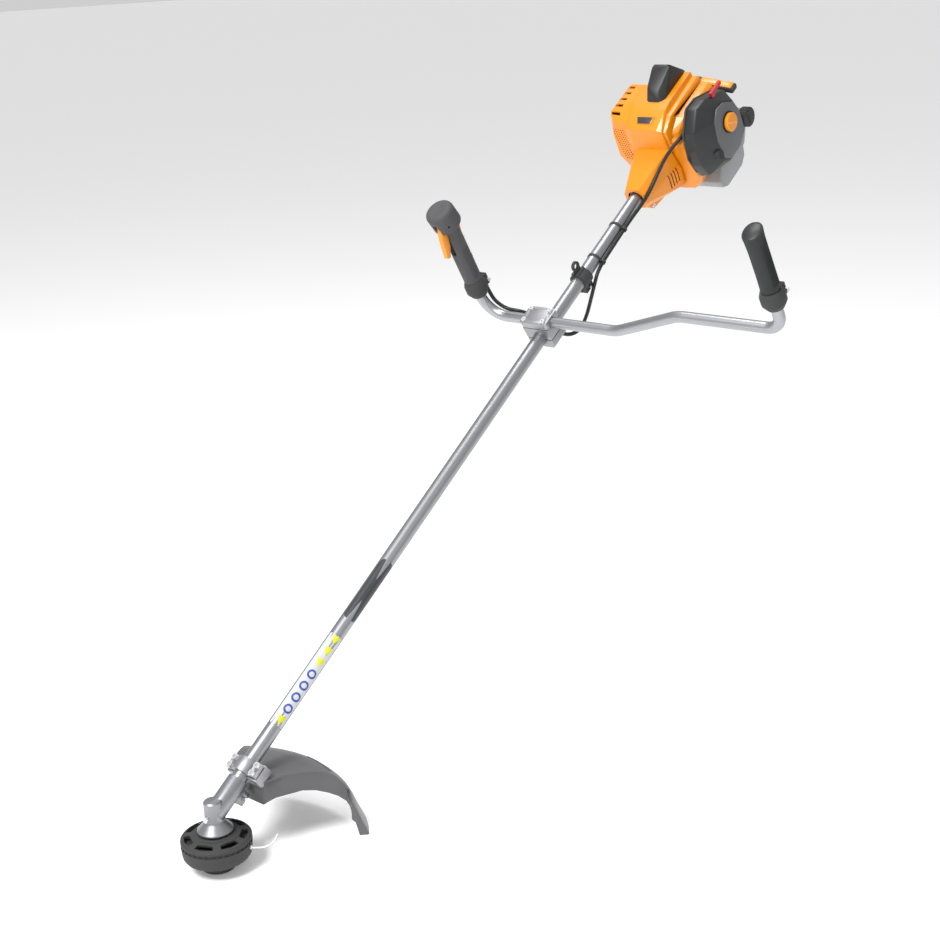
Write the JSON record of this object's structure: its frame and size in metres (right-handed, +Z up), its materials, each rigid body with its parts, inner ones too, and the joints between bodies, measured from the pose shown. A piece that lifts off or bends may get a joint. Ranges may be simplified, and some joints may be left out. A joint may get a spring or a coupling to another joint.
{
  "type": "string trimmer",
  "caption": "Petrol string trimmer with a straight tube, bull-horn handlebar, bump-feed line head, debris guard and rear two-stroke engine.",
  "frame": {"origin": "middle of the hole in the harness eye on top of the tube", "axes": "+Z up with the line head level, +Y to the operator's right along the eye's hole, +X level from the line head towards the engine and the operator"},
  "size_m": [1.5195, 0.6935, 1.1523],
  "materials": {
    "tube_aluminium": "satin anodised",
    "machined_steel": "turned",
    "cast_aluminium": "die cast, fine grained",
    "zinc_plated_steel": "bright plated",
    "spring_steel": "oil tempered",
    "heat_resistant_steel": "heat tinted",
    "glazed_ceramic": "glazed",
    "head_nylon": "moulded",
    "trimmer_line": "drawn nylon",
    "guard_plastic": "fine spark texture",
    "black_nylon": "moulded",
    "grip_rubber": "soft moulded",
    "throttle_nylon": "moulded",
    "amber_plastic": "gloss moulded",
    "shroud_plastic": "gloss moulded",
    "dark_grey_plastic": "satin moulded",
    "filter_foam": "open cell foam",
    "red_plastic": "gloss moulded",
    "tank_plastic": "translucent blow moulded"
  },
  "bodies": {
    "frame": {"drive_tube": "tube_aluminium", "handlebar": "tube_aluminium", "shaft_bearings": "machined_steel", "gearbox_housing": "cast_aluminium", "guard_bracket": "cast_aluminium", "bar_clamp_base": "cast_aluminium", "bar_clamp_cover": "cast_aluminium", "clutch_housing": "cast_aluminium", "crankcase": "cast_aluminium", "cylinder": "cast_aluminium", "carburettor": "cast_aluminium", "cross_screws": "zinc_plated_steel", "cap_screws": "zinc_plated_steel", "line_cutter": "zinc_plated_steel", "recoil_spring": "spring_steel", "muffler": "heat_resistant_steel", "spark_plug": "glazed_ceramic", "guard": "guard_plastic", "guard_skirt": "guard_plastic", "harness_clamp": "black_nylon", "cable_ties": "black_nylon", "grip_collars": "black_nylon", "filter_base": "black_nylon", "left_grip": "grip_rubber", "throttle_cable": "grip_rubber", "throttle_housing_inner": "throttle_nylon", "throttle_housing_outer": "throttle_nylon", "engine_shroud": "shroud_plastic", "spark_plug_cover": "dark_grey_plastic", "starter_housing": "dark_grey_plastic", "filter_cover": "dark_grey_plastic", "filter_element": "filter_foam", "fuel_tank": "tank_plastic"},
    "line_head": {"bevel_gear": "machined_steel", "output_spindle": "machined_steel", "head_cover": "head_nylon", "head_base": "head_nylon", "line_eyelets": "zinc_plated_steel", "line_end_left": "trimmer_line", "line_end_right": "trimmer_line", "head_spring": "spring_steel"},
    "bump_spool": {"line_spool": "head_nylon", "bump_knob": "head_nylon"},
    "drive_line": {"drive_shaft": "machined_steel", "bevel_pinion": "machined_steel", "clutch_drum": "machined_steel"},
    "crank": {"crank_shaft": "machined_steel", "clutch_shoes": "machined_steel", "flywheel_fan": "cast_aluminium"},
    "piston": {"piston": "cast_aluminium"},
    "trigger": {"throttle_trigger": "amber_plastic"},
    "lockout": {"lockout_lever": "amber_plastic"},
    "stop_switch": {"stop_switch": "black_nylon"},
    "throttle_arm": {"throttle_arm": "zinc_plated_steel"},
    "choke": {"choke_lever": "red_plastic"},
    "primer": {"primer_bulb": "grip_rubber"},
    "cover_knob": {"filter_knob": "amber_plastic"},
    "tank_cap": {"fuel_cap": "black_nylon"},
    "pull_handle": {"starter_handle": "dark_grey_plastic"},
    "rope_pulley": {"starter_pulley": "black_nylon"}
  },
  "joints": [
    {"name": "head_spin", "type": "hinge", "parent": "frame", "child": "line_head", "pos_m": [-0.95701, 0, -0.73795], "axis": [0, 0, 1], "continuous": true},
    {"name": "knob_press", "type": "slide", "parent": "line_head", "child": "bump_spool", "axis": [0, 0, 1], "range_m": [0, 0.004], "stiffness_N_per_m": 1500, "springref_m": -0.004, "deforming": ["head_spring"]},
    {"name": "drive_spin", "type": "hinge", "parent": "frame", "child": "drive_line", "pos_m": [-0.3836, 0, -0.30645], "axis": [0.8192, 0, 0.5736], "continuous": true},
    {"name": "crank_spin", "type": "hinge", "parent": "frame", "child": "crank", "pos_m": [0.34544, 0, 0.20404], "axis": [0.8192, 0, 0.5736], "continuous": true},
    {"name": "piston_stroke", "type": "slide", "parent": "frame", "child": "piston", "axis": [-0.5736, 0, 0.8192], "range_m": [-0.014, 0.014]},
    {"name": "trigger_squeeze", "type": "hinge", "parent": "frame", "child": "trigger", "pos_m": [-0.22927, 0.123, 0.09972], "axis": [0, -1, 0], "range_deg": [0, 12], "stiffness_Nm_per_rad": 0.8, "springref_deg": -8.59},
    {"name": "lockout_press", "type": "hinge", "parent": "frame", "child": "lockout", "pos_m": [-0.17855, 0.123, 0.07524], "axis": [0, -1, 0], "range_deg": [0, 8], "stiffness_Nm_per_rad": 0.5, "springref_deg": -8.59},
    {"name": "stop_slide", "type": "slide", "parent": "frame", "child": "stop_switch", "axis": [-0.4848, 0, 0.8746], "range_m": [0, 0.006]},
    {"name": "throttle_turn", "type": "hinge", "parent": "frame", "child": "throttle_arm", "pos_m": [0.28465, -0.056, 0.24204], "axis": [0.8192, 0, 0.5736], "range_deg": [0, 60]},
    {"name": "choke_swing", "type": "hinge", "parent": "frame", "child": "choke", "pos_m": [0.30627, -0.103, 0.27915], "axis": [0, 1, 0], "range_deg": [0, 25]},
    {"name": "primer_press", "type": "slide", "parent": "frame", "child": "primer", "axis": [0, 1, 0], "range_m": [0, 0.004], "stiffness_N_per_m": 400, "springref_m": -0.002},
    {"name": "knob_turn", "type": "hinge", "parent": "frame", "child": "cover_knob", "pos_m": [0.32479, -0.129, 0.23353], "axis": [0, -1, 0], "range_deg": [0, 720]},
    {"name": "cap_turn", "type": "hinge", "parent": "frame", "child": "tank_cap", "pos_m": [0.43637, -0.095, 0.23108], "axis": [0, -1, 0], "range_deg": [0, 540]},
    {"name": "starter_pull", "type": "slide", "parent": "frame", "child": "pull_handle", "axis": [-0.5736, 0, 0.8192], "range_m": [0, 0.6], "stiffness_N_per_m": 10, "springref_m": -0.3},
    {"name": "pulley_spin", "type": "hinge", "parent": "frame", "child": "rope_pulley", "pos_m": [0.41425, 0, 0.25222], "axis": [0.8192, 0, 0.5736], "range_deg": [0, 1600]}
  ],
  "couplings": [
    {"joint": "drive_spin", "follows": "head_spin", "ratio": -1.3571},
    {"joint": "throttle_turn", "follows": "trigger_squeeze", "ratio": 5},
    {"joint": "pulley_spin", "follows": "starter_pull", "rad_per_m": 45}
  ]
}
